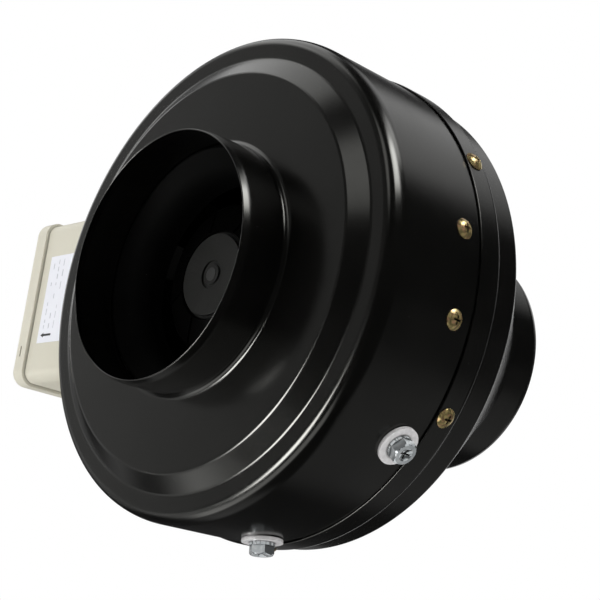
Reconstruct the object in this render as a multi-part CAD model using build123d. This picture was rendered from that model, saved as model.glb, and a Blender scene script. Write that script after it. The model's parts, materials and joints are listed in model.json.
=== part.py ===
from build123d import *
import os
from math import atan2, copysign, cos, degrees, radians, sin, sqrt, tan

# Inline duct fan for 150 mm duct: a mixed housing of two pressed steel shells, an external-rotor motor
# with a backward-curved impeller inside, and a terminal box on the side.
# Millimetres. The fan's axis is Y, air flows towards +Y, the inlet rim lies in the plane y = 0, Z is up.
# An angle "phi" round the axis starts at +X and turns towards -Z.

# ---------------------------------------------------------------- driving dimensions
DUCT_R = 75.0            # outer radius of both spigots
CASING_R = 146.0         # outer radius of the inlet shell
SHEET = 1.0              # thickness of both shells
TOTAL_LENGTH = 254.5     # rim to rim
RIM_TURN = 1.3           # how far the spigots' free edges are rolled inward
RIM_LENGTH = 4.0
RIM_BEND = 12.0

SPIGOT_Y = 31.0          # front face of the inlet shell, where the inlet spigot ends
STEP_INNER_R = 119.4     # the conical step in the inlet shell's face
STEP_OUTER_R = 130.5
STEP_Y = 38.25
SHOULDER_R = 142.0       # the face turns here into a short steep cone, which runs into the cylinder
SHOULDER_Y = 45.5
SHOULDER_BEND = 5.0
SHOULDER_RUNOUT = 18.0
INLET_SHELL_END = 123.0

SKIRT_R = CASING_R + SHEET + 0.2   # the outlet shell's skirt slips over the inlet shell
SKIRT_START = 108.5
SKIRT_END = 124.6
BAND_R = 144.0
BAND_START = 127.4
BAND_END = 142.9
CONE_END = 228.0

FASTENER_Y = 95.0        # plane of the motor bracket's screws and of the mounting bolts
SEAM_SCREW_Y = 115.3
SEAM_SCREW_PHI = [30 + 60 * i for i in range(6)]
BRACKET_SCREW_PHI = [-10, 10, 170, 190]
MOUNT_BOLT_PHI = [61 - 22, 61 + 22]

M8 = 8.0
M5 = 5.0
M4 = 4.0
THREAD_GAP = 0.02        # radial gap between a bolt and the thread that holds it
HOLE_GAP = 0.2           # radial gap between a screw and the clearance hole it passes through
M5_NUT = (8.0, 4.0)      # across flats, height
M8_NUT = (13.0, 6.5)
MOUNT_WASHER_T = 2.0
MOUNT_WASHER_R = 12.0
SPRING_WASHER_T = 2.0
SPRING_WASHER_R = 7.5

SHAFT_R = 4.0
BEARING_R = 11.0         # 608 bearing: 8 x 22 x 7
BEARING_WIDTH = 7.0
FRONT_BEARING_Y = 58.0
REAR_BEARING_Y = 91.0
BALL_D = 3.97
BALL_CIRCLE_R = 7.5
BALL_COUNT = 7

CORE_Y = (60.0, 86.0)    # both lamination stacks
STATOR_R = 31.5
ROTOR_CORE_R = (32.2, 44.0)
CAN_R = 46.0
CAN_WALL = 2.0
CAN_END = 95.5
HUB_R = 24.6
HUB_Y = 42.9
CAN_FACE_R = 43.5
CAN_FACE_Y = 49.6
RIB_COUNT = 8
RIB_START_PHI = 118.3
BACKPLATE_Y = 88.0
BACKPLATE_T = 1.2
IMPELLER_R = 95.0
BLADE_COUNT = 7
BLADE_T = 1.2
BLADE_START_PHI = 33.0
BLADE_INNER_R = 62.0
BLADE_SWEEP = 34.0       # degrees that a blade's tip trails its root
BRACKET_Y = 104.0        # front face of the motor bracket's plate
BRACKET_T = 2.0
ARM_WIDTH = 44.0
FOOT_REACH = 9.0         # the bracket's feet run this far in front of their screws
FOOT_HALF_WIDTH = 36.0
PLATE_R = 50.0
PRELOAD_ROOM = 1.4       # room for the wave washer behind the rear bearing

STATOR_SLOTS = 12
STATOR_TUBE_R = 14.0
FLANGE_R = 44.0
FLANGE_Y = 98.5
WINDING_R = (20.5, 28.7)
MOTOR_SCREW_CIRCLE_R = 36.0
IMPELLER_SCREW_CIRCLE_R = 50.0
IMPELLER_SCREW_COUNT = 6

THROAT_R = 57.5
SHROUD_EYE_R = 61.0

BOX_FRONT = 48.0         # terminal box, on the casing's -X side
BOX_REAR = 142.0
BOX_HALF_HEIGHT = 55.0
BOX_Z = 2.0              # the box's middle is a little above the fan's axis
BOX_RIM_X = -185.6
BOX_FLOOR_X = -150.5
BOX_WALL = 2.5
BOX_CORNER = 8.0
GASKET_T = 1.0
LID_OVERHANG = 2.0
LID_OUTER_X = -200.0
LID_EDGE = 4.5
LID_WALL = 4.0
MOTOR_CABLE_R = 2.5
MOTOR_CABLE_Y = 101.3
GROMMET_Y = 76.0
GROMMET_NECK_R = 5.95
GLAND_X = -169.0
GLAND_Z = 22.0
GLAND_R = 10.0
CORD_R = 4.0
TERMINAL_Y = 92.0
TERMINAL_PITCH = 9.0
TERMINAL_HEIGHT = 15.0
TERMINAL_HALF_DEPTH = 10.0
CAPACITOR_R = 12.0
CAPACITOR_LENGTH = 50.0
CLIP_T = 1.2
LABEL_X = (-178.0, -146.5)
LABEL_HALF_HEIGHT = 30.0
LABEL_Z = 2.3
LABEL_T = 0.15

BOX_MIDDLE = (BOX_FRONT + BOX_REAR) / 2
BOX_LENGTH = BOX_REAR - BOX_FRONT
LID_INNER_X = BOX_RIM_X - GASKET_T
LID_SCREW_PLACES = [(BOX_MIDDLE + dy, BOX_Z + dz) for dy in (-37, 37) for dz in (-45, 45)]
BOX_SCREW_PLACES = [(62.0, -34.0), (62.0, 34.0)]
EARTH_SCREW_PLACE = (70.0, -22.0)
TERMINAL_FLOOR = BOX_FLOOR_X - BOX_WALL
TERMINAL_PLACES = [(TERMINAL_Y + dy, TERMINAL_PITCH * i) for dy in (-5, 5) for i in range(-2, 3)]
CAPACITOR_AXIS = (TERMINAL_FLOOR - CAPACITOR_R - 1.5, 116.0, -8.0)


# ---------------------------------------------------------------- outlines and placing
def bend_edges(corners):
    """Lines and arcs through corners (radius, y, bend radius); the two end corners have no bend."""
    points = [Vector(*corner[:2]) for corner in corners]
    edges = []
    start = points[0]
    for before, point, after, corner in zip(points, points[1:], points[2:], corners[1:]):
        towards = (point - before).normalized()
        away = (after - point).normalized()
        half_turn = radians(towards.get_angle(away)) / 2
        bend = corner[2]
        reach = bend * tan(half_turn)
        inward = (away - towards).normalized()
        middle = point + inward * (bend / cos(half_turn) - bend)
        edges.append(Line(start, point - towards * reach))
        edges.append(ThreePointArc(point - towards * reach, middle, point + away * reach))
        start = point + away * reach
    edges.append(Line(start, points[-1]))
    return edges


def left_skin(corners, thickness):
    """The corners of the sheet's other skin, one thickness to the left of this one."""
    points = [Vector(*corner[:2]) for corner in corners]
    ways = [(b - a).normalized() for a, b in zip(points, points[1:])]
    sides = [Vector(-way.Y, way.X) * thickness for way in ways]
    skin = [(points[0].X + sides[0].X, points[0].Y + sides[0].Y)]
    for i in range(1, len(points) - 1):
        cosine = ways[i - 1].dot(ways[i])
        turn = ways[i - 1].cross(ways[i]).Z
        moved = points[i] + (sides[i - 1] + sides[i]) * (1 / (1 + cosine))
        skin.append((moved.X, moved.Y, corners[i][2] - copysign(thickness, turn)))
    last = points[-1] + sides[-1]
    skin.append((last.X, last.Y))
    return skin


def sheet_ring(corners, thickness):
    """A bent sheet turned round the fan's axis."""
    other = left_skin(corners, thickness)
    ends = [Line(corners[0][:2], other[0][:2]), Line(corners[-1][:2], other[-1][:2])]
    return revolve(make_face(bend_edges(corners) + bend_edges(other) + ends), Axis.Y)


def turned(points):
    """A polygon of (radius, y) turned round the fan's axis."""
    return revolve(make_face(Polyline(*points, close=True)), Axis.Y)


def ring(inner_r, outer_r, start, end):
    """A plain ring round the fan's axis, from y = start to y = end."""
    return turned([(inner_r, start), (outer_r, start), (outer_r, end), (inner_r, end)])


def disc(radius, start, end):
    """A plain disc round the fan's axis."""
    return Pos(0, (start + end) / 2, 0) * Rot(90, 0, 0) * Cylinder(radius, end - start)


def wall_place(phi, y, radius):
    """A place on a wall of this radius: local Z points outward and local X towards the outlet."""
    angle = radians(phi)
    outward = (cos(angle), 0, -sin(angle))
    spot = (radius * outward[0], y, radius * outward[2])
    return Plane(origin=spot, x_dir=(0, 1, 0), z_dir=outward).location


def round_axis(item, count, start_phi=0.0):
    """Copies of an item built at phi = 0, evenly spaced round the fan's axis."""
    return [Rot(0, start_phi + 360 * i / count, 0) * item for i in range(count)]


def round_circle(radius, y, count, start_degrees=0.0):
    """Points spaced evenly on a circle round the fan's axis."""
    turns = [radians(start_degrees + 360 * i / count) for i in range(count)]
    return [(radius * cos(turn), y, radius * sin(turn)) for turn in turns]


def axial_drills(radius, places, length=30.0):
    """Drills along the fan's axis through these points."""
    return [Pos(*place) * Rot(90, 0, 0) * Cylinder(radius, length) for place in places]


def facing(item, x, y, z):
    """Puts an item, built along +Z, on the terminal box so that it points to -X."""
    return Plane(origin=(x, y, z), x_dir=(0, 1, 0), z_dir=(-1, 0, 0)).location * item


def box_between(low, high):
    """An upright block between two opposite corners."""
    size = [b - a for a, b in zip(low, high)]
    middle = [(a + b) / 2 for a, b in zip(low, high)]
    return Pos(*middle) * Box(*size)


def group(items):
    """Separate solids kept in one node."""
    return Compound(children=[solid for item in items for solid in item.solids()])


# ---------------------------------------------------------------- fasteners, built along +Z, seated at z = 0
def cross_recess(span, width, top, depth):
    """The tapered cross that a screwdriver fits."""
    cross = Rectangle(span, width) + Rectangle(width, span)
    return extrude(Pos(0, 0, top) * cross, amount=-depth, taper=12)


def truss_screw(diameter, length):
    """Low domed head with a cross recess."""
    head_r = diameter * 1.18
    head_height = diameter * 0.56
    rim = 0.5
    shoulder = (head_r * 0.62, rim + (head_height - rim) * 0.72)
    profile = [
        Line((0, 0), (head_r, 0)),
        Line((head_r, 0), (head_r, rim)),
        ThreePointArc((head_r, rim), shoulder, (0, head_height)),
        Line((0, head_height), (0, 0)),
    ]
    head = Rot(90, 0, 0) * revolve(make_face(profile), Axis.Y)
    shank = Pos(0, 0, -length / 2) * Cylinder(diameter / 2, length)
    return head + shank - cross_recess(diameter * 1.1, diameter * 0.26, head_height + 0.1, diameter * 0.42)


def hex_bolt(diameter, length):
    """Hexagon head with a dished top and a cross recess."""
    across_flats = 13.0
    height = 5.3
    dish_r = 9.0
    dish_depth = 1.0
    hexagon = extrude(RegularPolygon(across_flats / 2, 6, major_radius=False), amount=height)
    top_chamfer = Pos(0, 0, height / 2) * Cone(across_flats / 2 + height, across_flats / 2 - 0.2, height)
    dish = Pos(0, 0, height + dish_r - dish_depth) * Sphere(dish_r)
    shank = Pos(0, 0, -length / 2) * Cylinder(diameter / 2, length)
    return (hexagon & top_chamfer) + shank - dish - cross_recess(6.6, 1.5, height, 3.0)


def pan_screw(diameter, length):
    """Plain round head with a driver slot."""
    head_r = diameter * 0.95
    height = diameter * 0.6
    head = Pos(0, 0, height / 2) * Cylinder(head_r, height)
    head = fillet(head.edges().sort_by(Axis.Z)[-1], height * 0.4)
    slot = Pos(0, 0, height) * Box(2 * head_r, diameter * 0.2, height * 0.8)
    return head - slot + Pos(0, 0, -length / 2) * Cylinder(diameter / 2, length)


def hex_nut(diameter, across_flats, height):
    """A nut that hangs below z = 0."""
    body = extrude(RegularPolygon(across_flats / 2, 6, major_radius=False), amount=-height)
    return body - Pos(0, 0, -height / 2) * Cylinder(diameter / 2 + THREAD_GAP, height * 1.1)


def sag(wall_r, half_width):
    """How far a flat of this half width stands off the inside of a curved wall."""
    return wall_r - sqrt(wall_r ** 2 - half_width ** 2)


def washer(inner_r, outer_r, thickness):
    return Pos(0, 0, thickness / 2) * (Cylinder(outer_r, thickness) - Cylinder(inner_r, thickness))


def wall_drills(radius, phis, y):
    """Drills for holes through the casing's wall."""
    return [wall_place(phi, y, CASING_R) * Cylinder(radius, 12) for phi in phis]


def wall_nuts(diameter, size, phis, y, wall_r):
    """Nuts whose flat seats just touch the inside of a curved wall."""
    across_flats, height = size
    corner_r = across_flats / sqrt(3)
    seat_r = wall_r - sag(wall_r, corner_r + 0.1)
    return group(wall_place(phi, y, seat_r) * hex_nut(diameter, across_flats, height) for phi in phis)


# ---------------------------------------------------------------- casing
INLET_SKIN = [
    (DUCT_R - RIM_TURN, 0),
    (DUCT_R, RIM_LENGTH, RIM_BEND),
    (DUCT_R, SPIGOT_Y, 3.5),
    (STEP_INNER_R, SPIGOT_Y, 4.0),
    (STEP_OUTER_R, STEP_Y, 4.0),
    (SHOULDER_R, STEP_Y, SHOULDER_BEND),
    (CASING_R, SHOULDER_Y, SHOULDER_RUNOUT),
    (CASING_R, INLET_SHELL_END),
]
OUTLET_SKIN = [
    (SKIRT_R, SKIRT_START),
    (SKIRT_R, SKIRT_END, 2.0),
    (BAND_R, BAND_START, 2.5),
    (BAND_R, BAND_END, 4.0),
    (DUCT_R, CONE_END, 7.0),
    (DUCT_R, TOTAL_LENGTH - RIM_LENGTH, RIM_BEND),
    (DUCT_R - RIM_TURN, TOTAL_LENGTH),
]
SHROUD_SKIN = [
    (SHROUD_EYE_R, 49.0),
    (SHROUD_EYE_R, 55.0, 7.0),
    (IMPELLER_R, 63.5),
]
SHROUD_T = 1.0


def inlet_housing():
    shell = sheet_ring(INLET_SKIN, SHEET)
    shell -= wall_drills(M8 / 2 + 0.5, MOUNT_BOLT_PHI, FASTENER_Y)
    shell -= wall_drills(M5 / 2 + HOLE_GAP, BRACKET_SCREW_PHI, FASTENER_Y)
    shell -= wall_drills(M5 / 2 + HOLE_GAP, SEAM_SCREW_PHI, SEAM_SCREW_Y)
    shell -= wall_drills(GROMMET_NECK_R + 0.05, [180], GROMMET_Y)
    shell -= [facing(Cylinder(M4 / 2 + THREAD_GAP, 20), -140, y, z) for y, z in BOX_SCREW_PLACES]
    return shell


def outlet_housing():
    return sheet_ring(OUTLET_SKIN, SHEET) - wall_drills(M5 / 2 + HOLE_GAP, SEAM_SCREW_PHI, SEAM_SCREW_Y)


def inlet_nozzle():
    """Bell mouth: its collar sits in the spigot and its throat reaches into the impeller's eye."""
    collar_r = DUCT_R - SHEET
    flow_skin = [
        (THROAT_R, 54.0),
        (THROAT_R, 38.0, 14.0),
        (collar_r, 26.6, 1.6),
        (collar_r, 35.5),
    ]
    return sheet_ring(flow_skin, 0.8)


# ---------------------------------------------------------------- motor bracket and casing fasteners
def motor_screw_places():
    return round_circle(MOTOR_SCREW_CIRCLE_R, BRACKET_Y + BRACKET_T, 4, 45)


def motor_bracket():
    """A pressed strip across the casing: centre plate, two flanged arms and two curved feet."""
    inner_r = CASING_R - SHEET
    foot_r = inner_r - BRACKET_T
    back = BRACKET_Y + BRACKET_T
    half_arm = ARM_WIDTH / 2
    flange_depth = 6.0
    flange_end = 132.0
    foot_start = FASTENER_Y - FOOT_REACH
    strip = disc(PLATE_R, BRACKET_Y, back)
    strip += box_between((-inner_r, BRACKET_Y, -half_arm), (inner_r, back, half_arm))
    for edge in (-half_arm, half_arm - BRACKET_T):
        low = (-flange_end, BRACKET_Y - flange_depth, edge)
        high = (flange_end, BRACKET_Y, edge + BRACKET_T)
        strip += box_between(low, high)
    strip -= disc(FLANGE_R + 2.5, BRACKET_Y - flange_depth - 2, BRACKET_Y)
    foot_span = box_between((-CASING_R, foot_start, -FOOT_HALF_WIDTH), (CASING_R, back, FOOT_HALF_WIDTH))
    feet = ring(foot_r, inner_r, foot_start, back) & foot_span
    bracket = (strip & disc(inner_r, foot_start, back)) + feet
    bracket -= wall_drills(M5 / 2 + HOLE_GAP, BRACKET_SCREW_PHI, FASTENER_Y)
    bracket -= disc(9.0, BRACKET_Y - 1, back + 1)
    return bracket - axial_drills(M4 / 2 + HOLE_GAP, motor_screw_places())


def bracket_screws():
    return group(wall_place(phi, FASTENER_Y, CASING_R) * truss_screw(M5, 9.5) for phi in BRACKET_SCREW_PHI)


def bracket_nuts():
    return wall_nuts(M5, M5_NUT, BRACKET_SCREW_PHI, FASTENER_Y, CASING_R - SHEET - BRACKET_T)


def seam_screws():
    return group(wall_place(phi, SEAM_SCREW_Y, SKIRT_R) * truss_screw(M5, 8.5) for phi in SEAM_SCREW_PHI)


def seam_nuts():
    return wall_nuts(M5, M5_NUT, SEAM_SCREW_PHI, SEAM_SCREW_Y, CASING_R - SHEET)


def mount_washers():
    one = washer(M8 / 2 + 0.25, MOUNT_WASHER_R, MOUNT_WASHER_T)
    return group(wall_place(phi, FASTENER_Y, CASING_R) * one for phi in MOUNT_BOLT_PHI)


def mount_spring_washers():
    bore_r = M8 / 2 + 0.2
    split = box_between((bore_r - 1, -0.6, -1), (SPRING_WASHER_R + 1, 0.6, SPRING_WASHER_T + 1))
    one = washer(bore_r, SPRING_WASHER_R, SPRING_WASHER_T) - split
    seat_r = CASING_R + MOUNT_WASHER_T
    return group(wall_place(phi, FASTENER_Y, seat_r) * one for phi in MOUNT_BOLT_PHI)


def mount_bolts():
    seat_r = CASING_R + MOUNT_WASHER_T + SPRING_WASHER_T
    return group(wall_place(phi, FASTENER_Y, seat_r) * hex_bolt(M8, 14.0) for phi in MOUNT_BOLT_PHI)


def mount_nuts():
    return wall_nuts(M8, M8_NUT, MOUNT_BOLT_PHI, FASTENER_Y, CASING_R - SHEET)


# ---------------------------------------------------------------- motor, fixed half
def stator_flange():
    """Cast flange with the tube that carries both bearings."""
    bearing_stop_y = FRONT_BEARING_Y + BEARING_WIDTH
    behind = BRACKET_Y + 10
    casting = disc(FLANGE_R, FLANGE_Y, BRACKET_Y)
    casting += disc(STATOR_TUBE_R, FRONT_BEARING_Y - 1.5, FLANGE_Y)
    casting += disc(20.0, FLANGE_Y - 6, FLANGE_Y)
    casting -= disc(BEARING_R, FRONT_BEARING_Y - 10, bearing_stop_y)
    casting -= disc(BEARING_R, REAR_BEARING_Y - PRELOAD_ROOM, behind)
    casting -= disc(BEARING_R - 2.5, bearing_stop_y - 10, behind)
    casting -= axial_drills(M4 / 2 + THREAD_GAP, motor_screw_places())
    cable_slot_half = MOTOR_CABLE_R + 0.3
    return casting - box_between((-50, 90, -cable_slot_half), (-27, behind, cable_slot_half))


def stator_core():
    """Lamination stack with a slot and a slot mouth for each coil."""
    start, end = CORE_Y
    core = ring(STATOR_TUBE_R, STATOR_R, start, end)
    slot = box_between((20, start, -2.6), (29, end, 2.6))
    mouth = box_between((28, start, -0.8), (34, end, 0.8))
    return core - round_axis(slot, STATOR_SLOTS) - round_axis(mouth, STATOR_SLOTS)


def stator_windings():
    """Copper in the slots, joined by the end turns."""
    start, end = CORE_Y
    windings = ring(*WINDING_R, start - 5, start - 0.2)
    windings += ring(*WINDING_R, end + 0.2, end + 5.5)
    coil_side = box_between((20.5, start - 1, -2.2), (28.5, end + 1, 2.2))
    windings += round_axis(coil_side, STATOR_SLOTS)
    return fillet(windings.edges().filter_by(GeomType.CIRCLE).group_by(Axis.Y)[0], 1.6)


def axial_screws(places, length):
    """M4 screws with their heads towards the outlet."""
    along_axis = Plane(origin=(0, 0, 0), x_dir=(1, 0, 0), z_dir=(0, 1, 0)).location
    return group(Pos(*place) * along_axis * pan_screw(M4, length) for place in places)


def motor_screws():
    return axial_screws(motor_screw_places(), 7.0)


# ---------------------------------------------------------------- bearings
BEARING_STARTS = (FRONT_BEARING_Y, REAR_BEARING_Y)
RACE_R = BALL_D / 2 + 0.05


def race_groove(start):
    """The torus that the balls run in."""
    return Pos(0, start + BEARING_WIDTH / 2, 0) * Rot(90, 0, 0) * Torus(BALL_CIRCLE_R, RACE_R)


def bearing_outer_rings():
    return group(ring(9.2, BEARING_R, s, s + BEARING_WIDTH) - race_groove(s) for s in BEARING_STARTS)


def bearing_inner_rings():
    return group(ring(SHAFT_R, 5.9, s, s + BEARING_WIDTH) - race_groove(s) for s in BEARING_STARTS)


def balls_at(start):
    ball = Pos(BALL_CIRCLE_R, start + BEARING_WIDTH / 2, 0) * Sphere(BALL_D / 2)
    return round_axis(ball, BALL_COUNT)


def bearing_balls():
    return group(ball for s in BEARING_STARTS for ball in balls_at(s))


def bearing_cages():
    """One ring a bearing, with a round pocket for each ball."""
    cages = []
    for s in BEARING_STARTS:
        middle = s + BEARING_WIDTH / 2
        cage = Rot(0, 180 / BALL_COUNT, 0) * ring(6.6, 8.5, middle - 2.6, middle + 2.6)
        pocket = wall_place(0, middle, BALL_CIRCLE_R) * Cylinder(BALL_D / 2 + 0.08, 4)
        cages.append(cage - round_axis(pocket, BALL_COUNT))
    return group(cages)


def preload_spring():
    """Wave washer, drawn flat, that pushes on the rear bearing's outer ring."""
    return ring(9.4, 10.9, REAR_BEARING_Y - 1.3, REAR_BEARING_Y)


def retaining_ring():
    """Keeps the rear inner ring on the shaft."""
    y = REAR_BEARING_Y + BEARING_WIDTH
    gap = box_between((3, y, -1.5), (8, y + 1, 1.5))
    return ring(3.6, 6.0, y + 0.02, y + 0.9) - gap


def shaft():
    y = REAR_BEARING_Y + BEARING_WIDTH
    rod = disc(SHAFT_R, HUB_Y - 0.3, y + 3.5)
    return rod - ring(3.55, 5, y, y + 0.95)


# ---------------------------------------------------------------- rotor and impeller
def rotor_can():
    """Bell that carries the rotor core: hub disc, groove, sloping face with radial ribs, wall and flange."""
    inside = CAN_R - CAN_WALL
    flange_r = 54.0
    flange_t = 2.5
    bell = turned([
        (SHAFT_R, HUB_Y),
        (6.2, HUB_Y),
        (6.2, HUB_Y + 1.2),
        (8.6, HUB_Y + 1.2),
        (8.6, HUB_Y),
        (HUB_R, HUB_Y),
        (HUB_R, HUB_Y + 2.6),
        (HUB_R + 1.8, HUB_Y + 2.6),
        (HUB_R + 2.6, HUB_Y + 0.9),
        (CAN_FACE_R, CAN_FACE_Y),
        (CAN_R, CAN_FACE_Y + 2.6),
        (CAN_R, BACKPLATE_Y - flange_t),
        (flange_r, BACKPLATE_Y - flange_t),
        (flange_r, BACKPLATE_Y),
        (CAN_R, BACKPLATE_Y),
        (CAN_R, CAN_END),
        (inside, CAN_END),
        (inside, CAN_FACE_Y + 3.8),
        (CAN_FACE_R - 2, CAN_FACE_Y + 2.4),
        (HUB_R + 2, HUB_Y + 5.2),
        (12, HUB_Y + 5.2),
        (10, HUB_Y + 10.5),
        (SHAFT_R, HUB_Y + 10.5),
    ])
    slope = degrees(atan2(CAN_FACE_Y - HUB_Y - 0.9, CAN_FACE_R - HUB_R - 2.6))
    rib_length = (CAN_FACE_R - HUB_R - 3.2) / cos(radians(slope))
    rib = Rot(0, 0, slope) * box_between((0, -0.9, -0.6), (rib_length, 0.6, 0.6))
    rib = Pos(HUB_R + 2.9, HUB_Y + 0.9, 0) * rib
    bell += round_axis(rib, RIB_COUNT, RIB_START_PHI)
    return bell - axial_drills(M4 / 2 + THREAD_GAP, impeller_screw_places(BACKPLATE_Y))


def impeller_screw_places(y):
    return round_circle(IMPELLER_SCREW_CIRCLE_R, y, IMPELLER_SCREW_COUNT)


def rotor_core():
    return ring(*ROTOR_CORE_R, *CORE_Y)


def impeller_shroud():
    return sheet_ring(SHROUD_SKIN, SHROUD_T)


def impeller_backplate():
    plate = ring(CAN_R + 0.05, IMPELLER_R, BACKPLATE_Y, BACKPLATE_Y + BACKPLATE_T)
    return plate - axial_drills(M4 / 2 + HOLE_GAP, impeller_screw_places(BACKPLATE_Y))


def impeller_screws():
    return axial_screws(impeller_screw_places(BACKPLATE_Y + BACKPLATE_T), 3.5)


def impeller_blades():
    """Backward-curved blades between the shroud's rear skin and the backplate."""
    inner = Vector(BLADE_INNER_R, 0)
    sweep_back = radians(BLADE_SWEEP)
    tip_r = IMPELLER_R - 1.0
    tip = Vector(tip_r * cos(sweep_back), tip_r * sin(sweep_back))
    chord = tip - inner
    bulge = Vector(chord.Y, -chord.X).normalized() * (chord.length * 0.12)
    line = ThreePointArc(inner, inner + chord * 0.5 + bulge, tip)
    strip = trace(line, BLADE_T)
    tall = Pos(0, BACKPLATE_Y, 0) * Rot(90, 0, 0) * extrude(strip, amount=60, both=True)
    rear_skin = left_skin(SHROUD_SKIN, SHROUD_T)
    beyond_tip = tip_r + 4
    outline = [
        rear_skin[-1][:2],
        (beyond_tip, rear_skin[-1][1]),
        (beyond_tip, BACKPLATE_Y),
        (rear_skin[0][0], BACKPLATE_Y),
        rear_skin[0][:2],
    ]
    behind_shroud = revolve(make_face(bend_edges(rear_skin) + Polyline(*outline).edges()), Axis.Y)
    return group(round_axis(tall & behind_shroud, BLADE_COUNT, BLADE_START_PHI))


# ---------------------------------------------------------------- terminal box
def rounded_block(x_start, x_end, margin, corner):
    """A block on the box's footprint, grown by a margin, with its four edges along X rounded."""
    outline = RectangleRounded(BOX_LENGTH + 2 * margin, 2 * (BOX_HALF_HEIGHT + margin), corner)
    place = Plane(origin=(x_start, BOX_MIDDLE, BOX_Z), x_dir=(0, 1, 0), z_dir=(-1, 0, 0))
    return extrude(place * outline, amount=x_start - x_end)


def casing_envelope(clearance):
    """Everything inside the casing's outer skin, grown a little, that the box walls are cut to."""
    skirt = [
        (SKIRT_R + clearance, SKIRT_START - 1),
        (SKIRT_R + clearance, SKIRT_END + 1),
        (BAND_R + clearance, BAND_START + 1),
        (BAND_R + clearance, BAND_END + 10),
    ]
    body = disc(CASING_R + clearance, STEP_Y, SKIRT_START)
    return body + turned([(0, SKIRT_START - 1), *skirt, (0, BAND_END + 10)])


def terminal_box():
    outer = rounded_block(-125, BOX_RIM_X, 0, BOX_CORNER)
    room = rounded_block(BOX_FLOOR_X - BOX_WALL, BOX_RIM_X - 1, -BOX_WALL, BOX_CORNER - BOX_WALL)
    under_room = rounded_block(-124, BOX_FLOOR_X, -BOX_WALL, BOX_CORNER - BOX_WALL)
    shell = outer - room - under_room
    post_x = (BOX_RIM_X + BOX_FLOOR_X) / 2
    shell += [facing(Cylinder(5.0, BOX_FLOOR_X - BOX_RIM_X), post_x, y, z) for y, z in LID_SCREW_PLACES]
    shell += [facing(Cylinder(6.0, 30), BOX_FLOOR_X + 15, y, z) for y, z in BOX_SCREW_PLACES]
    shell -= casing_envelope(0.3)
    shell -= [facing(Cylinder(M4 / 2 + THREAD_GAP, 24), BOX_RIM_X + 12, y, z) for y, z in LID_SCREW_PLACES]
    shell -= [facing(Cylinder(M4 / 2 + 0.3, 60), BOX_FLOOR_X, y, z) for y, z in BOX_SCREW_PLACES]
    shell -= facing(Cylinder(M4 / 2 + THREAD_GAP, 12), BOX_FLOOR_X, *EARTH_SCREW_PLACE)
    shell -= facing(Cylinder(8.0, 12), BOX_FLOOR_X, GROMMET_Y, 0)
    shell -= Pos(GLAND_X, BOX_REAR, GLAND_Z) * Rot(90, 0, 0) * Cylinder(GLAND_R + 0.15, 12)
    return shell


def lid_gasket():
    outer = rounded_block(BOX_RIM_X, LID_INNER_X, -0.6, BOX_CORNER - 0.6)
    inner = rounded_block(BOX_RIM_X + 1, LID_INNER_X - 1, -BOX_WALL - 1.0, BOX_CORNER - BOX_WALL - 1.0)
    return outer - inner


def terminal_box_lid():
    """Lid with screw posts and a small pry slot in its front edge."""
    corner = BOX_CORNER + LID_OVERHANG
    lid = rounded_block(LID_INNER_X, LID_OUTER_X, LID_OVERHANG, corner)
    lid = fillet(lid.faces().sort_by(Axis.X)[0].edges(), LID_EDGE)
    lid -= rounded_block(LID_INNER_X + 1, LID_OUTER_X + 3.0, LID_OVERHANG - LID_WALL, corner - LID_WALL)
    for y, z in LID_SCREW_PLACES:
        lid += facing(Cylinder(5.5, 10), LID_INNER_X - 5, y, z)
        lid -= facing(Cylinder(M4 / 2 + 0.25, 40), LID_INNER_X, y, z)
        lid -= facing(Cylinder(4.4, 6), LID_OUTER_X, y, z)
    lid_front = BOX_FRONT - LID_OVERHANG
    slot_z = BOX_Z - 38.0
    return lid - box_between((-193.0, lid_front - 1, slot_z), (-191.8, lid_front + 1.2, slot_z + 7))


def lid_screws():
    return group(facing(pan_screw(M4, 20.0), LID_OUTER_X + 3.0, y, z) for y, z in LID_SCREW_PLACES)


def box_screws():
    return group(facing(pan_screw(M4, 19.0), BOX_FLOOR_X - BOX_WALL, y, z) for y, z in BOX_SCREW_PLACES)


def cable_grommet():
    """Rubber ring in the casing wall where the motor's cable passes."""
    collar = washer(MOTOR_CABLE_R + 0.05, 8.0, 1.8)
    neck = washer(MOTOR_CABLE_R + 0.05, GROMMET_NECK_R, 7.0)
    pieces = Pos(0, 0, 0.25) * collar + Pos(0, 0, -4) * neck + Pos(0, 0, -3.2) * collar
    return wall_place(180, GROMMET_Y, CASING_R) * pieces


def motor_cable():
    """Round cable from the stator flange, along the bracket, through the grommet into the box."""
    turn_x = -126.0
    path = FilletPolyline(
        (-28, MOTOR_CABLE_Y, 0),
        (turn_x, MOTOR_CABLE_Y, 0),
        (turn_x, GROMMET_Y, 0),
        (-165, GROMMET_Y, 0),
        radius=9,
    )
    section = Plane(origin=path @ 0, z_dir=path % 0) * Circle(MOTOR_CABLE_R)
    return sweep(section, path=path)


def terminal_block():
    """Ten screw wells in two rows, with a notch between the poles."""
    outer_x = TERMINAL_FLOOR - TERMINAL_HEIGHT
    half_height = 2.5 * TERMINAL_PITCH
    front, back = TERMINAL_Y - TERMINAL_HALF_DEPTH, TERMINAL_Y + TERMINAL_HALF_DEPTH
    block = box_between((outer_x, front, -half_height), (TERMINAL_FLOOR, back, half_height))
    wells = [facing(Cylinder(2.6, 10), outer_x, y, z) for y, z in TERMINAL_PLACES]
    notches = []
    for between in (-1.5, -0.5, 0.5, 1.5):
        z = between * TERMINAL_PITCH
        notches.append(box_between((outer_x - 2, front, z - 0.6), (outer_x + 2, back, z + 0.6)))
    return block - wells - notches


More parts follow.
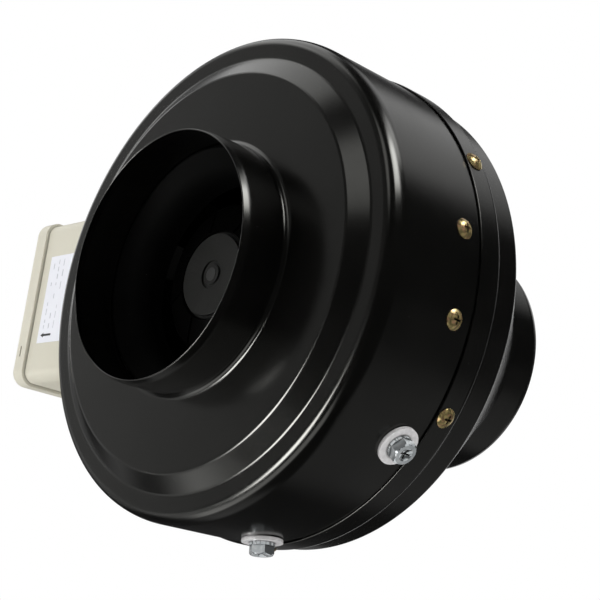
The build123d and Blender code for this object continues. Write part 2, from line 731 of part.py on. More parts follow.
def terminal_screws():
    seat = TERMINAL_FLOOR - TERMINAL_HEIGHT + 5
    head = Cylinder(2.2, 2.4) - Pos(0, 0, 1.2) * Box(5, 0.7, 1.4)
    return group(facing(Pos(0, 0, 1.2) * head, seat, y, z) for y, z in TERMINAL_PLACES)


def capacitor():
    """Round can with two blade tabs on top."""
    x, y, z = CAPACITOR_AXIS
    top = z + CAPACITOR_LENGTH / 2
    can = Pos(x, y, z) * Cylinder(CAPACITOR_R, CAPACITOR_LENGTH)
    can = fillet(can.edges(), 1.5)
    for tab_y in (y - 4, y + 4):
        can += box_between((x - 3, tab_y - 0.4, top - 0.1), (x + 3, tab_y + 0.4, top + 8))
    return can


def capacitor_clip():
    """Spring band screwed to the box floor."""
    x, y, z = CAPACITOR_AXIS
    bore = Pos(x, y, z) * Cylinder(CAPACITOR_R + 0.05, 13)
    band = Pos(x, y, z) * Cylinder(CAPACITOR_R + CLIP_T, 12)
    foot = box_between((TERMINAL_FLOOR - CLIP_T, y - 6, z - 6), (TERMINAL_FLOOR, y + 6, z + 6))
    return band + foot - bore


def earth_screw():
    return facing(truss_screw(M4, 2.3), TERMINAL_FLOOR, *EARTH_SCREW_PLACE)


def rating_label():
    low_x, high_x = LABEL_X
    low = (low_x, BOX_FRONT - LABEL_T, LABEL_Z - LABEL_HALF_HEIGHT)
    return box_between(low, (high_x, BOX_FRONT, LABEL_Z + LABEL_HALF_HEIGHT))


def gland_place(item):
    """Puts an item, built along +Z, on the box's rear wall so that it points to +Y."""
    return Plane(origin=(GLAND_X, BOX_REAR, GLAND_Z), x_dir=(1, 0, 0), z_dir=(0, 1, 0)).location * item


def gland_body():
    hexagon = extrude(RegularPolygon(12.0, 6, major_radius=False), amount=5)
    spout = Pos(0, 0, 9) * Cylinder(9.2, 8)
    thread = Pos(0, 0, -5) * Cylinder(GLAND_R, 10)
    return gland_place(hexagon + spout + thread - Pos(0, 0, 2) * Cylinder(6.6, 30))


def gland_locknut():
    return gland_place(Pos(0, 0, -BOX_WALL) * hex_nut(2 * GLAND_R, 24.0, 4.5))


def gland_cap():
    cap = extrude(RegularPolygon(11.6, 6, major_radius=False), amount=11)
    crown = Pos(0, 0, 12.5) * Cone(11.0, 8.0, 4.0)
    bore = Pos(0, 0, 5) * Cylinder(9.2 + THREAD_GAP, 12)
    return gland_place(Pos(0, 0, 5.2) * (cap + crown - bore - Pos(0, 0, 10) * Cylinder(5.6, 20)))


def gland_seal():
    seal = Pos(0, 0, 9) * (Cylinder(6.55, 12) - Cylinder(CORD_R, 12))
    return gland_place(seal)


# ---------------------------------------------------------------- export
NODES = [
    inlet_housing, outlet_housing, inlet_nozzle, motor_bracket, bracket_screws, bracket_nuts,
    seam_screws, seam_nuts, mount_bolts, mount_spring_washers, mount_washers, mount_nuts,
    terminal_box, lid_gasket, terminal_box_lid, lid_screws, box_screws, cable_grommet, motor_cable,
    terminal_block, terminal_screws, capacitor, capacitor_clip, earth_screw, rating_label,
    gland_body, gland_locknut, gland_cap, gland_seal,
    stator_flange, stator_core, stator_windings, motor_screws,
    bearing_outer_rings, bearing_inner_rings, bearing_balls, bearing_cages, preload_spring, retaining_ring,
    shaft, rotor_can, rotor_core, impeller_backplate, impeller_blades, impeller_shroud, impeller_screws,
]

os.makedirs("parts", exist_ok=True)
for make in NODES:
    export_step(group([make()]), f"parts/{make.__name__}.step")
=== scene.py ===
import json
import math
import random
import bmesh
import bpy
from mathutils import Matrix, Vector


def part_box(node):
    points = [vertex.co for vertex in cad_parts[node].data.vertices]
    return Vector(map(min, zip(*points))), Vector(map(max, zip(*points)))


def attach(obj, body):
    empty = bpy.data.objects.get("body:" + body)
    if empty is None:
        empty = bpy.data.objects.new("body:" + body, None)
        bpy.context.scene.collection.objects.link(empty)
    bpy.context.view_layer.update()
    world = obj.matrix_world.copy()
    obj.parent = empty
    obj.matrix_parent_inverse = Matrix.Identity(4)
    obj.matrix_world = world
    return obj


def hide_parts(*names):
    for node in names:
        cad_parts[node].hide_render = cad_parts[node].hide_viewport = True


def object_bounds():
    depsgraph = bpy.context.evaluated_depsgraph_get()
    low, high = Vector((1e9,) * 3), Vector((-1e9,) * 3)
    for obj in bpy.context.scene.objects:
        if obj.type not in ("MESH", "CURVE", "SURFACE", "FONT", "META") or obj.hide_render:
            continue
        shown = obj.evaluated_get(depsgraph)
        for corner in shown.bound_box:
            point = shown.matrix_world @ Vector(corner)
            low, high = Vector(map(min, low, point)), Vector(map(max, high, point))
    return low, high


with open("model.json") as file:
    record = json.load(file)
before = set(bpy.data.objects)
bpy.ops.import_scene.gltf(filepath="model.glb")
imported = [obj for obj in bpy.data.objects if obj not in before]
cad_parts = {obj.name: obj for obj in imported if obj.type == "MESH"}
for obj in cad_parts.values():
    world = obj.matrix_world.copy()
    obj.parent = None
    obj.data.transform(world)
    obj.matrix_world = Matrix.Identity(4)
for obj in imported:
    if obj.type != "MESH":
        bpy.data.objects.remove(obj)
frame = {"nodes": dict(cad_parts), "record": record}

CAD_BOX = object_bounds()
MM = 0.001
NODES = frame["nodes"]

# sizes that the frame gives
INLET_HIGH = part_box("inlet_housing")[1]
OUTLET_LOW, OUTLET_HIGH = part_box("outlet_housing")
LABEL_LOW, LABEL_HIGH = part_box("rating_label")
CASING_R = INLET_HIGH.x
INLET_END = INLET_HIGH.y
SKIRT_R = OUTLET_HIGH.x
SKIRT_START = OUTLET_LOW.y
RIM_TO_RIM = OUTLET_HIGH.y
HUB_FRONT_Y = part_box("rotor_can")[0].y
FLOOR_Z = CAD_BOX[0].z

# the pressed shells: radii, distances from the inlet rim, and bend radii
SHEET = 1 * MM
DUCT_R = 75 * MM
RIM_TURN = 1.3 * MM
RIM_LENGTH = 4 * MM
RIM_BEND = 12 * MM
FACE_Y = 31 * MM
FACE_BEND = 3.5 * MM
STEP_INNER_R = 119.4 * MM
STEP_OUTER_R = 130.5 * MM
STEP_Y = 38.25 * MM
STEP_BEND = 4 * MM
SHOULDER_R = CASING_R - 2.8 * MM
SHOULDER_Y = 45.5 * MM
SHOULDER_BEND = 6.5 * MM
SHOULDER_RUNOUT = 17 * MM
SKIRT_END = SKIRT_START + 16.1 * MM
SKIRT_BEND = 6 * MM
BAND_R = SKIRT_R - 3.2 * MM
BAND_START = SKIRT_END + 2.8 * MM
BAND_END = BAND_START + 15.5 * MM
BAND_FOOT_BEND = 2.5 * MM
BAND_BEND = 4 * MM
CONE_END = RIM_TO_RIM - 26.5 * MM
CONE_BEND = 7 * MM

HUB_DISC_R = 24.6 * MM
INK_THICKNESS = 0.03 * MM

# outer surfaces of the two pressed shells, as corners: radius, distance from the inlet rim, bend radius
INLET_SKIN = [
    (DUCT_R - RIM_TURN, 0, 0),
    (DUCT_R, RIM_LENGTH, RIM_BEND),
    (DUCT_R, FACE_Y, FACE_BEND),
    (STEP_INNER_R, FACE_Y, STEP_BEND),
    (STEP_OUTER_R, STEP_Y, STEP_BEND),
    (SHOULDER_R, STEP_Y, SHOULDER_BEND),
    (CASING_R, SHOULDER_Y, SHOULDER_RUNOUT),
    (CASING_R, INLET_END, 0),
]
OUTLET_SKIN = [
    (SKIRT_R, SKIRT_START, 0),
    (SKIRT_R, SKIRT_END, SKIRT_BEND),
    (BAND_R, BAND_START, BAND_FOOT_BEND),
    (BAND_R, BAND_END, BAND_BEND),
    (DUCT_R, CONE_END, CONE_BEND),
    (DUCT_R, RIM_TO_RIM - RIM_LENGTH, RIM_BEND),
    (DUCT_R - RIM_TURN, RIM_TO_RIM, 0),
]


# ---------------------------------------------------------------- pressed shells
def turned(vector, angle):
    """A 2-D vector turned by an angle in radians."""
    return Matrix.Rotation(angle, 2) @ vector


def bent_line(corners, step=math.radians(4)):
    """Points along a line of rounded corners, each with its outward normal."""
    spots = [Vector(corner[:2]) for corner in corners]
    headings = [(b - a).normalized() for a, b in zip(spots, spots[1:])]
    outward = [Vector((heading.y, -heading.x)) for heading in headings]
    line = [(spots[0], outward[0])]
    for i in range(1, len(corners) - 1):
        before, after, normal = headings[i - 1], headings[i], outward[i - 1]
        bend = corners[i][2]
        angle = math.atan2(before.x * after.y - before.y * after.x, before.dot(after))
        side = math.copysign(1, angle)
        start = spots[i] - before * bend * math.tan(abs(angle) / 2)
        centre = start - normal * bend * side
        count = max(2, round(abs(angle) / step))
        for k in range(count + 1):
            here = turned(normal, angle * k / count)
            line.append((centre + here * bend * side, here))
    line.append((spots[-1], outward[-1]))
    return line


def rounded_edge(end, normal, thickness, steps=8):
    """Half circle over a sheet's edge, from the face with this normal to the other face."""
    middle = end - normal * thickness / 2
    edge = []
    for i in range(1, steps):
        here = turned(normal, math.pi * i / steps)
        edge.append((middle + here * thickness / 2, here))
    return edge


def sheet_loop(corners, thickness):
    """Closed section of a bent sheet: outer face, rounded edge, inner face, rounded edge."""
    outer = bent_line(corners)
    (first, first_normal), (last, last_normal) = outer[0], outer[-1]
    edge_room = thickness / 2
    outer[0] = (first + turned(first_normal, math.pi / 2) * edge_room, first_normal)
    outer[-1] = (last - turned(last_normal, math.pi / 2) * edge_room, last_normal)
    inner = [(spot - normal * thickness, -normal) for spot, normal in reversed(outer)]
    far_edge = rounded_edge(outer[-1][0], last_normal, thickness)
    near_edge = rounded_edge(inner[-1][0], -first_normal, thickness)
    return outer + far_edge + inner + near_edge


def spun_sheet(name, corners, node, turns=360):
    """A bent sheet turned round the fan's axis, shown in place of a CAD node."""
    loop = sheet_loop(corners, SHEET)
    count = len(loop)
    spots, normals, faces = [], [], []
    for k in range(turns):
        angle = 2 * math.pi * k / turns
        across, up = math.cos(angle), math.sin(angle)
        spots += [(spot.x * across, spot.y, spot.x * up) for spot, _ in loop]
        normals += [(normal.x * across, normal.y, normal.x * up) for _, normal in loop]
        here, beyond = k * count, (k + 1) % turns * count
        for i in range(count):
            j = (i + 1) % count
            faces.append((here + i, here + j, beyond + j, beyond + i))
    mesh = bpy.data.meshes.new(name)
    mesh.from_pydata(spots, [], faces)
    mesh.shade_smooth()
    mesh.normals_split_custom_set_from_vertices(normals)
    shell = bpy.data.objects.new(name, mesh)
    bpy.context.scene.collection.objects.link(shell)
    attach(shell, "casing")
    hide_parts(node)
    return shell


# ---------------------------------------------------------------- label
def prism(work, corners, back, front):
    """A closed solid with an (x, z) outline, between two distances along the fan's axis."""
    rear = [work.verts.new((x, back, z)) for x, z in corners]
    fore = [work.verts.new((x, front, z)) for x, z in corners]
    work.faces.new(rear)
    work.faces.new(fore)
    for i in range(len(corners)):
        work.faces.new((fore[i - 1], fore[i], rear[i], rear[i - 1]))


def printed_piece(name, outlines, ink):
    """Thin printed shapes from (x, z) outlines, lying on the front of the label."""
    work = bmesh.new()
    for corners in outlines:
        prism(work, corners, LABEL_LOW.y, LABEL_LOW.y - INK_THICKNESS)
    bmesh.ops.recalc_face_normals(work, faces=work.faces)
    mesh = bpy.data.meshes.new(name)
    work.to_mesh(mesh)
    work.free()
    piece = bpy.data.objects.new(name, mesh)
    bpy.context.scene.collection.objects.link(piece)
    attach(piece, "casing")
    give_to(piece, ink)


def bar(x, z, width, height):
    """Corners of an upright rectangle, from its lower left corner."""
    return [(x, z), (x + width, z), (x + width, z + height), (x, z + height)]


def arrow(x, z):
    """Outlines of a plain arrow that points to -X, tip at x and shaft's lower edge at z."""
    head, shaft, thick, overlap, flare = 3.2 * MM, 8.5 * MM, 1.5 * MM, 0.2 * MM, 0.9 * MM
    tip = [(x, z + thick / 2), (x + head, z - flare), (x + head, z + thick + flare)]
    return [bar(x + head - overlap, z, shaft, thick), tip]


def text_bars(x, height):
    """Columns of short bars in place of text, as upright rectangles."""
    pick = random.Random(4)
    columns, column_pitch, inked_share = 3, 5.5 * MM, 0.75
    bottom = LABEL_LOW.z + 0.16 * height
    top = LABEL_HIGH.z - 0.08 * height
    bars = []
    for column in range(columns):
        z = bottom
        while z < top:
            length = pick.uniform(0.03, 0.09) * height
            if pick.random() < inked_share:
                bars.append(bar(x + column_pitch * column, z, pick.uniform(0.5, 0.9) * MM, length))
            z += length + pick.uniform(0.02, 0.06) * height
    return bars


def label_print():
    """Plain bars in place of text, and an arrow along the label's lower end."""
    height = LABEL_HIGH.z - LABEL_LOW.z
    left = LABEL_LOW.x + 0.10 * (LABEL_HIGH.x - LABEL_LOW.x)
    dark_ink = moulded("ink", (0.012, 0.012, 0.014), (0.018, 0.018, 0.020), gloss=0.5, edge_mm=0.02)
    faint_ink = moulded("faint_ink", (0.42, 0.43, 0.47), (0.52, 0.53, 0.57), gloss=0.5, edge_mm=0.02)
    printed_piece("label_arrow", arrow(left, LABEL_LOW.z + 0.075 * height), dark_ink)
    printed_piece("label_bars", text_bars(left + 1.5 * MM, height), faint_ink)


# ---------------------------------------------------------------- node helpers
def new_material(name):
    """A Principled material; returns (material, node tree, shader)."""
    material = bpy.data.materials.new(name)
    material.use_nodes = True
    tree = material.node_tree
    return material, tree, tree.nodes["Principled BSDF"]


def plug(tree, socket, value):
    """Sets a socket to a number or colour, or links it to another socket."""
    if isinstance(value, bpy.types.NodeSocket):
        tree.links.new(value, socket)
    else:
        socket.default_value = value


def maths(tree, operation, *inputs):
    """A Math node; each input is a number or a socket."""
    node = tree.nodes.new("ShaderNodeMath")
    node.operation = operation
    for socket, value in zip(node.inputs, inputs):
        plug(tree, socket, value)
    return node.outputs[0]


def place(tree):
    """The shaded point, in metres."""
    return tree.nodes.new("ShaderNodeTexCoord").outputs["Object"]


def axis_of(tree, name):
    """One coordinate of the shaded point, in metres."""
    node = tree.nodes.new("ShaderNodeSeparateXYZ")
    tree.links.new(place(tree), node.inputs[0])
    return node.outputs[name]


def noise(tree, size_mm, detail=3.0, rough=0.55, vector=None):
    """Noise whose features are about size_mm across, over the shaded point or another vector."""
    node = tree.nodes.new("ShaderNodeTexNoise")
    node.inputs["Scale"].default_value = 1 / (size_mm * MM)
    node.inputs["Detail"].default_value = detail
    node.inputs["Roughness"].default_value = rough
    tree.links.new(vector or place(tree), node.inputs["Vector"])
    return node.outputs["Fac"]


def spread(tree, value, low, high, start=0.3, end=0.7):
    """Maps start..end of a value to low..high."""
    node = tree.nodes.new("ShaderNodeMapRange")
    node.inputs["From Min"].default_value = start
    node.inputs["From Max"].default_value = end
    node.inputs["To Min"].default_value = low
    node.inputs["To Max"].default_value = high
    tree.links.new(value, node.inputs["Value"])
    return node.outputs["Result"]


def blend_colours(tree, factor, first, second):
    """Mixes two colours; each is an RGB tuple or a socket."""
    node = tree.nodes.new("ShaderNodeMix")
    node.data_type = "RGBA"
    plug(tree, node.inputs[0], factor)
    plug(tree, node.inputs[6], (*first, 1) if isinstance(first, tuple) else first)
    plug(tree, node.inputs[7], (*second, 1) if isinstance(second, tuple) else second)
    return node.outputs[2]


def painted_corner_shade(tree, reach_mm):
    """Painted shade: 0 on open surfaces, rising to 1 in recesses and corners, from ambient occlusion."""
    node = tree.nodes.new("ShaderNodeAmbientOcclusion")
    node.samples = 8
    node.inputs["Distance"].default_value = reach_mm * MM
    return spread(tree, node.outputs["AO"], 1.0, 0.0, 0.35, 0.85)


def round_edges(tree, radius_mm):
    """Normals that soften a sharp edge."""
    node = tree.nodes.new("ShaderNodeBevel")
    node.samples = 6
    node.inputs["Radius"].default_value = radius_mm * MM
    return node.outputs["Normal"]


def bump(tree, shader, height, depth_mm, strength, normal=None):
    """Fine relief; height is 0..1 over depth_mm."""
    node = tree.nodes.new("ShaderNodeBump")
    node.inputs["Strength"].default_value = strength
    node.inputs["Distance"].default_value = depth_mm * MM
    tree.links.new(height, node.inputs["Height"])
    if normal:
        tree.links.new(normal, node.inputs["Normal"])
    tree.links.new(node.outputs["Normal"], shader.inputs["Normal"])


# ---------------------------------------------------------------- materials
DUST = (0.09, 0.09, 0.085)
WARM_SHINE = (1.0, 1.0, 0.94, 1)


def powder_coat(name, dark, light, gloss, sheen=0.5):
    """Black powder coat: orange peel, slow drift of gloss, a few specks of dust."""
    material, tree, shader = new_material(name)
    coat = blend_colours(tree, spread(tree, noise(tree, 40.0), 0, 1), dark, light)
    speck = spread(tree, noise(tree, 1.1, detail=1.0), 0, 0.5, 0.76, 0.80)
    rare = spread(tree, noise(tree, 25.0, detail=2.0), 0, 1, 0.50, 0.62)
    dusty = blend_colours(tree, maths(tree, "MULTIPLY", speck, rare), coat, DUST)
    rough = spread(tree, noise(tree, 30.0, detail=6.0), gloss - 0.03, gloss + 0.03)
    tree.links.new(dusty, shader.inputs["Base Color"])
    tree.links.new(rough, shader.inputs["Roughness"])
    shader.inputs["Specular IOR Level"].default_value = sheen
    shader.inputs["Specular Tint"].default_value = WARM_SHINE
    waves = maths(tree, "MULTIPLY", noise(tree, 9.0, detail=1.0), 1.5)
    peel = maths(tree, "ADD", noise(tree, 1.6, detail=2.0), waves)
    bump(tree, shader, peel, 0.008, 0.35)
    return material


def turned_paint(name, dark, light, gloss):
    """Dip paint over a turned hub disc: fine rings and faint radial marks; much darker and almost without
    shine beyond the disc.
    """
    material, tree, shader = new_material(name)
    across, height = axis_of(tree, "X"), axis_of(tree, "Z")
    angle = maths(tree, "ARCTAN2", height, across)
    across_squared = maths(tree, "MULTIPLY", across, across)
    height_squared = maths(tree, "MULTIPLY", height, height)
    radius = maths(tree, "POWER", maths(tree, "ADD", across_squared, height_squared), 0.5)
    polar = tree.nodes.new("ShaderNodeCombineXYZ")
    tree.links.new(maths(tree, "MULTIPLY", angle, 0.055), polar.inputs["X"])
    tree.links.new(maths(tree, "MULTIPLY", radius, 0.04), polar.inputs["Y"])
    brushed = noise(tree, 1.2, vector=polar.outputs[0])
    paint = blend_colours(tree, spread(tree, brushed, 0, 1), dark, light)
    beyond_disc = spread(tree, radius, 0, 1, HUB_DISC_R, HUB_DISC_R + 2 * MM)
    # beyond the disc: a fifth of the paint's colour, and almost no shine
    outer_ring_colour = tuple(0.2 * channel for channel in dark)
    rough = spread(tree, noise(tree, 14.0, detail=4.0), gloss - 0.05, gloss + 0.05)
    tree.links.new(blend_colours(tree, beyond_disc, paint, outer_ring_colour), shader.inputs["Base Color"])
    tree.links.new(rough, shader.inputs["Roughness"])
    tree.links.new(spread(tree, beyond_disc, 0.27, 0.02, 0, 1), shader.inputs["Specular IOR Level"])
    bump(tree, shader, brushed, 0.012, 0.5, round_edges(tree, 0.3))
    return material


def plated(name, first, second, third, gloss, metallic=1.0, contrast=0.0):
    """Plated metal: patchy tint, painted shade in the recesses, fine drawn marks.

    Contrast sets a painted reflection: it darkens the colour on the sides that would mirror the dark parts
    of a room.
    """
    material, tree, shader = new_material(name)
    patches = blend_colours(tree, spread(tree, noise(tree, 4.0), 0, 1), first, second)
    tint = spread(tree, noise(tree, 2.2, detail=2.0), 0, 1, 0.50, 0.68)
    tinted = blend_colours(tree, tint, patches, third)
    mirrored = tree.nodes.new("ShaderNodeTexCoord").outputs["Reflection"]
    # painted reflection: the colour darkens with the direction the surface mirrors
    painted_reflection = spread(tree, noise(tree, 500.0, detail=2.0, vector=mirrored), contrast, 0, 0.44, 0.56)
    colour_with_reflection = blend_colours(tree, painted_reflection, tinted, tuple(0.12 * channel for channel in second))
    # painted shade: recesses and corners darkened to near black, from ambient occlusion
    shade_amount = painted_corner_shade(tree, 1.8)
    tree.links.new(blend_colours(tree, shade_amount, colour_with_reflection, (0.012, 0.010, 0.008)), shader.inputs["Base Color"])
    shader.inputs["Metallic"].default_value = metallic
    rough = spread(tree, noise(tree, 1.5, detail=4.0), gloss - 0.05, gloss + 0.10)
    tree.links.new(rough, shader.inputs["Roughness"])
    bump(tree, shader, noise(tree, 0.9), 0.010, 0.35, round_edges(tree, 0.25))
    return material


def sheet_metal(name, first, second, gloss):
    """Plain metal with a cloudy tone and fine marks."""
    material, tree, shader = new_material(name)
    cloud = spread(tree, noise(tree, 9.0, detail=5.0, rough=0.6), 0, 1)
    tree.links.new(blend_colours(tree, cloud, first, second), shader.inputs["Base Color"])
    shader.inputs["Metallic"].default_value = 1.0
    marks = noise(tree, 0.8)
    tree.links.new(spread(tree, marks, gloss - 0.06, gloss + 0.10), shader.inputs["Roughness"])
    bump(tree, shader, marks, 0.008, 0.4, round_edges(tree, 0.2))
    return material


def moulded(name, first, second, gloss, edge_mm=0.3):
    """Satin moulding: spark texture, faint flow marks, painted shade in the corners."""
    material, tree, shader = new_material(name)
    base = blend_colours(tree, spread(tree, noise(tree, 45.0, detail=4.0), 0, 1), first, second)
    # painted shade: a darker copy of the colour, laid into corners and recesses from ambient occlusion
    shade_colour = tuple(0.35 * channel for channel in first)
    shade_amount = maths(tree, "MULTIPLY", painted_corner_shade(tree, 2.5), 0.45)
    rough = spread(tree, noise(tree, 12.0, detail=5.0), gloss - 0.05, gloss + 0.06)
    tree.links.new(blend_colours(tree, shade_amount, base, shade_colour), shader.inputs["Base Color"])
    tree.links.new(rough, shader.inputs["Roughness"])
    bump(tree, shader, noise(tree, 0.7, detail=2.0), 0.010, 0.45, round_edges(tree, edge_mm))
    return material


def laminations(name):
    """Edges of stacked steel sheets, 0.5 mm each, across the fan's axis."""
    material, tree, shader = new_material(name)
    sheets = maths(tree, "PINGPONG", axis_of(tree, "Y"), 0.25 * MM)
    line = spread(tree, sheets, 0, 1, 0.02 * MM, 0.10 * MM)
    steel = blend_colours(tree, line, (0.05, 0.05, 0.05), (0.30, 0.30, 0.31))
    tree.links.new(steel, shader.inputs["Base Color"])
    shader.inputs["Metallic"].default_value = 0.9
    tree.links.new(spread(tree, noise(tree, 3.0), 0.40, 0.55), shader.inputs["Roughness"])
    bump(tree, shader, line, 0.05, 0.6)
    return material


def windings(name):
    """Enamelled wire wound round the axis."""
    material, tree, shader = new_material(name)
    wobble = maths(tree, "MULTIPLY", noise(tree, 4.0), 0.5 * MM)
    strand = maths(tree, "PINGPONG", maths(tree, "ADD", axis_of(tree, "Y"), wobble), 0.3 * MM)
    line = spread(tree, strand, 0, 1, 0, 0.3 * MM)
    copper = blend_colours(tree, line, (0.12, 0.03, 0.01), (0.58, 0.22, 0.09))
    tree.links.new(copper, shader.inputs["Base Color"])
    shader.inputs["Metallic"].default_value = 0.8
    tree.links.new(spread(tree, noise(tree, 2.0), 0.25, 0.42), shader.inputs["Roughness"])
    bump(tree, shader, line, 0.2, 0.8)
    return material


def painted_shaft_end(name):
    """Ground steel whose front end is covered by the rotor's paint."""
    material, tree, shader = new_material(name)
    painted = spread(tree, axis_of(tree, "Y"), 1, 0, HUB_FRONT_Y + 3 * MM, HUB_FRONT_Y + 5 * MM)
    cloud = spread(tree, noise(tree, 3.0), 0, 1)
    steel = blend_colours(tree, cloud, (0.60, 0.60, 0.61), (0.72, 0.72, 0.73))
    tree.links.new(blend_colours(tree, painted, steel, (0.014, 0.014, 0.013)), shader.inputs["Base Color"])
    tree.links.new(maths(tree, "SUBTRACT", 1.0, painted), shader.inputs["Metallic"])
    tree.links.new(spread(tree, painted, 0.18, 0.42, 0, 1), shader.inputs["Roughness"])
    bump(tree, shader, noise(tree, 0.8), 0.008, 0.4, round_edges(tree, 0.3))
    return material


def slot_materials():
    """One procedural material for each material slot of the record."""
    return {
        "black_powder_coat": powder_coat(
            "black_powder_coat", dark=(0.0008, 0.0008, 0.0007), light=(0.0022, 0.0021, 0.0019), gloss=0.19),
        "black_rotor_paint": turned_paint(
            "black_rotor_paint", dark=(0.0022, 0.0022, 0.0019), light=(0.0075, 0.0075, 0.0062), gloss=0.44),
        "dark_impeller": powder_coat(
            "dark_impeller", dark=(0.0012, 0.0012, 0.0012), light=(0.0025, 0.0025, 0.0025),
            gloss=0.50, sheen=0.10),
        "galvanised_sheet": sheet_metal(
            "galvanised_sheet", (0.42, 0.44, 0.46), (0.60, 0.61, 0.62), gloss=0.36),
        "yellow_zinc": plated(
            "yellow_zinc", (0.66, 0.52, 0.22), (0.44, 0.36, 0.16), (0.62, 0.33, 0.20),
            gloss=0.18, metallic=0.72, contrast=0.6),
        "white_zinc": plated(
            "white_zinc", (0.90, 0.95, 0.97), (0.70, 0.75, 0.77), (0.98, 1.0, 1.0),
            gloss=0.16, metallic=0.46, contrast=0.95),
        "bearing_steel": sheet_metal(
            "bearing_steel", (0.62, 0.62, 0.63), (0.74, 0.74, 0.75), gloss=0.16),
        "lamination_steel": laminations("lamination_steel"),
        "copper_wire": windings("copper_wire"),
        "plain_brass": plated(
            "plain_brass", (0.66, 0.46, 0.18), (0.56, 0.38, 0.14), (0.74, 0.56, 0.26), gloss=0.24),
        "cast_alloy": sheet_metal(
            "cast_alloy", (0.42, 0.42, 0.43), (0.54, 0.54, 0.54), gloss=0.48),
        "beige_shell": moulded(
            "beige_shell", (0.60, 0.575, 0.475), (0.64, 0.615, 0.515), gloss=0.40, edge_mm=0.5),
        "grey_foam": moulded(
            "grey_foam", (0.22, 0.21, 0.17), (0.27, 0.26, 0.21), gloss=0.80),
        "dark_rubber": moulded(
            "dark_rubber", (0.016, 0.016, 0.016), (0.028, 0.028, 0.028), gloss=0.62),
        "cable_jacket": moulded(
            "cable_jacket", (0.020, 0.020, 0.022), (0.032, 0.032, 0.034), gloss=0.50),
        "pale_nylon": moulded(
            "pale_nylon", (0.66, 0.64, 0.57), (0.74, 0.72, 0.66), gloss=0.45),
        "capacitor_can": moulded(
            "capacitor_can", (0.62, 0.62, 0.60), (0.70, 0.70, 0.68), gloss=0.25),
        "label_paper": moulded(
            "label_paper", (0.76, 0.77, 0.82), (0.82, 0.83, 0.88), gloss=0.36, edge_mm=0.1),
        "grey_nylon": moulded(
            "grey_nylon", (0.28, 0.29, 0.28), (0.34, 0.35, 0.34), gloss=0.46),
    }


def dull_black():
    """The nozzle's inside, which takes hardly any light."""
    return powder_coat(
        "dull_black", dark=(0.0010, 0.0010, 0.0010), light=(0.0020, 0.0020, 0.0020),
        gloss=0.62, sheen=0.025)


def dull_zinc():
    """The large plain washers, matt and pale."""
    return plated(
        "dull_zinc", (0.68, 0.66, 0.66), (0.60, 0.59, 0.59), (0.73, 0.72, 0.72), gloss=0.42, metallic=0.15)


def give_to(piece, material):
    """Makes this the piece's only material."""
    piece.data.materials.clear()
    piece.data.materials.append(material)


def paint_nodes(by_slot):
    """Each CAD node takes its slot's material; three nodes have a duller or painted one."""
    for entry in frame["record"]["subparts"]:
        give_to(NODES[entry["node"]], by_slot[entry["material_slot"]])
    give_to(NODES["inlet_nozzle"], dull_black())
    give_to(NODES["shaft"], painted_shaft_end("painted_shaft"))
    give_to(NODES["mount_washers"], dull_zinc())


# ---------------------------------------------------------------- studio
CAMERA_FROM_RIM = Vector((4.525, -3.321, -1.5295)) * CASING_R
VIEW_FORWARD = Vector((-0.71764, 0.65106, 0.24718))
VIEW_UP = Vector((0.08904, -0.26625, 0.95977))
LENS = 90.37


def make_camera():
    """Below and to the right of the inlet, looking slightly up, with a little roll."""
    data = bpy.data.cameras.new("camera")
    data.lens = LENS
    data.sensor_width = 36
    data.clip_start = 0.01
    camera = bpy.data.objects.new("camera", data)
    bpy.context.scene.collection.objects.link(camera)
    right = VIEW_FORWARD.cross(VIEW_UP).normalized()
    up = right.cross(VIEW_FORWARD).normalized()
    rotation = Matrix((right, up, -VIEW_FORWARD.normalized())).transposed()
    camera.matrix_world = Matrix.Translation(CAMERA_FROM_RIM) @ rotation.to_4x4()
    bpy.context.scene.camera = camera


def direction(azimuth, elevation):
    """Unit vector towards an azimuth (0 is -Y, 90 is +X) and an elevation, in degrees."""
    turn, lift = math.radians(azimuth), math.radians(elevation)
    return Vector((math.cos(lift) * math.sin(turn), -math.cos(lift) * math.cos(turn), math.sin(lift)))


def dot(tree, vector, fixed):
    """Dot product of a socket with a fixed vector."""
    node = tree.nodes.new("ShaderNodeVectorMath")
    node.operation = "DOT_PRODUCT"
    tree.links.new(vector, node.inputs[0])
    node.inputs[1].default_value = fixed
    return node.outputs["Value"]


def fade(tree, angle, half, soft):
    """1 inside +-half degrees, falling smoothly to 0 over the soft edge."""
    node = tree.nodes.new("ShaderNodeMapRange")
    node.interpolation_type = "SMOOTHSTEP"
    node.inputs["From Min"].default_value = math.radians(half + soft)
    node.inputs["From Max"].default_value = math.radians(half)
    tree.links.new(maths(tree, "ABSOLUTE", angle), node.inputs["Value"])
    return node.outputs["Result"]


def panel(tree, ray, azimuth, elevation, half_width, half_height, soft, power):
    """A soft studio panel, far away: its brightness in the direction of a ray."""
    centre = direction(azimuth, elevation)
    side = direction(azimuth + 90, 0)
    up = side.cross(-centre)
    across = maths(tree, "ARCTAN2", dot(tree, ray, side), dot(tree, ray, centre))
    above = maths(tree, "ARCSINE", dot(tree, ray, up))
    across_window = fade(tree, across, half_width, soft)
    above_window = fade(tree, above, half_height, soft)
    return maths(tree, "MULTIPLY", maths(tree, "MULTIPLY", across_window, above_window), power)


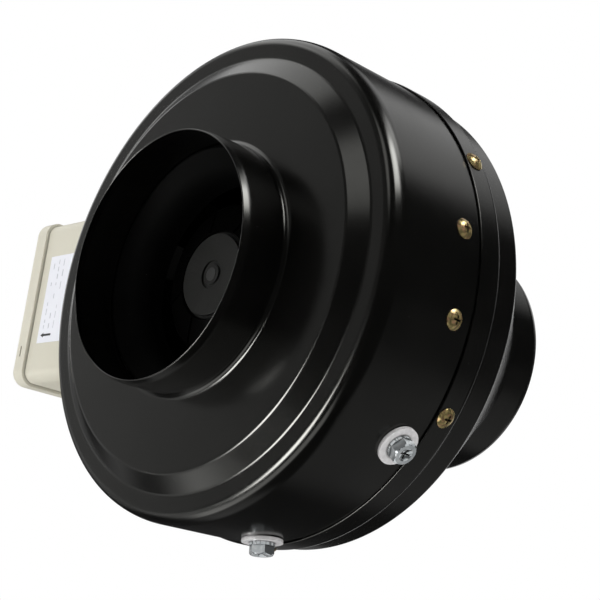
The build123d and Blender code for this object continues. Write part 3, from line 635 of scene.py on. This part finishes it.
# name: azimuth, elevation, half width, half height, soft edge (all in degrees), brightness
PANELS = {
    "key_right": (98, 50, 9, 6, 8, 11.0),
    "key_right_far": (123, 57, 10, 5, 9, 3.0),
    "key_back": (176, 52, 14, 6, 12, 0.8),
    "low_front": (-20, -17, 7, 7, 6, 25.0),
    "low_left": (-46, -26, 10, 9, 12, 0.7),
    "below": (-10, -60, 30, 8, 12, 1.9),
    "below_left": (-92, -64, 24, 8, 12, 0.3),
    "left": (-74, 0, 10, 16, 12, 0.28),
    "left_edge": (-88, 22, 7, 8, 10, 1.6),
    "above_left": (-76, 58, 18, 9, 12, 1.5),
    "front_left": (-62, 24, 9, 24, 12, 0.34),
    "shoulder_top": (-52, 41, 7, 4, 8, 0.5),
    "front_right_top": (12, 39, 6, 7, 8, 1.6),
    "front_top": (0, 44, 22, 6, 14, 0.06),
    "front_wide": (-24, 14, 16, 10, 16, 0.10),
    "right_low": (160, -36, 16, 9, 14, 0.20),
    "right_level": (142, -10, 6, 6, 10, 0.05),
    "behind": (-156, 8, 14, 16, 12, 0.8),
}
ROOM = 0.03
WALL_FILL = 1.04     # light that only matt surfaces see, from the white walls of the studio
MATT_SHARE = 0.05    # how much of the panels' light matt surfaces take


def make_world():
    """White for the camera; soft panels for shine, plus an even fill for matt surfaces."""
    world = bpy.data.worlds.new("studio")
    bpy.context.scene.world = world
    world.use_nodes = True
    world.cycles.sampling_method = "NONE"
    tree = world.node_tree
    tree.nodes.clear()
    ray = tree.nodes.new("ShaderNodeTexCoord").outputs["Generated"]
    path = tree.nodes.new("ShaderNodeLightPath")
    matt = path.outputs["Is Diffuse Ray"]
    panels = 0.0
    for values in PANELS.values():
        panels = maths(tree, "ADD", panel(tree, ray, *values), panels)
    share = maths(tree, "MULTIPLY_ADD", matt, MATT_SHARE - 1, 1)
    walls = maths(tree, "MULTIPLY_ADD", matt, WALL_FILL, ROOM)
    total = maths(tree, "MULTIPLY_ADD", panels, share, walls)
    out = tree.nodes.new("ShaderNodeOutputWorld")
    mix = tree.nodes.new("ShaderNodeMixShader")
    seen = tree.nodes.new("ShaderNodeBackground")
    seen.inputs["Color"].default_value = (1, 1, 1, 1)
    light = tree.nodes.new("ShaderNodeBackground")
    light.inputs["Color"].default_value = (1, 1, 1, 1)
    tree.links.new(total, light.inputs["Strength"])
    tree.links.new(path.outputs["Is Camera Ray"], mix.inputs[0])
    tree.links.new(light.outputs[0], mix.inputs[1])
    tree.links.new(seen.outputs[0], mix.inputs[2])
    tree.links.new(mix.outputs[0], out.inputs[0])


def make_floor():
    """A pale floor under the fan, seen only from above: the main camera looks up through it."""
    half = 3.0
    corners = [(-half, -half), (half, -half), (half, half), (-half, half)]
    mesh = bpy.data.meshes.new("floor")
    mesh.from_pydata([(x, y, FLOOR_Z) for x, y in corners], [], [(0, 1, 2, 3)])
    floor = bpy.data.objects.new("floor", mesh)
    bpy.context.scene.collection.objects.link(floor)
    material, tree, shader = new_material("floor")
    shader.inputs["Base Color"].default_value = (0.8, 0.8, 0.8, 1)
    shader.inputs["Roughness"].default_value = 0.7
    see_through = tree.nodes.new("ShaderNodeBsdfTransparent")
    mix = tree.nodes.new("ShaderNodeMixShader")
    tree.links.new(tree.nodes.new("ShaderNodeNewGeometry").outputs["Backfacing"], mix.inputs[0])
    tree.links.new(shader.outputs[0], mix.inputs[1])
    tree.links.new(see_through.outputs[0], mix.inputs[2])
    tree.links.new(mix.outputs[0], tree.nodes["Material Output"].inputs["Surface"])
    mesh.materials.append(material)
    floor.visible_glossy = False
    floor.visible_diffuse = False
    floor.visible_shadow = False


materials = slot_materials()
paint_nodes(materials)
for shell_name, skin, node_name in (
    ("inlet_shell", INLET_SKIN, "inlet_housing"),
    ("outlet_shell", OUTLET_SKIN, "outlet_housing"),
):
    shell_piece = spun_sheet(shell_name, skin, node_name)
    give_to(shell_piece, materials["black_powder_coat"])
label_print()
make_camera()
make_world()
make_floor()
bpy.context.scene.view_settings.view_transform = "Standard"
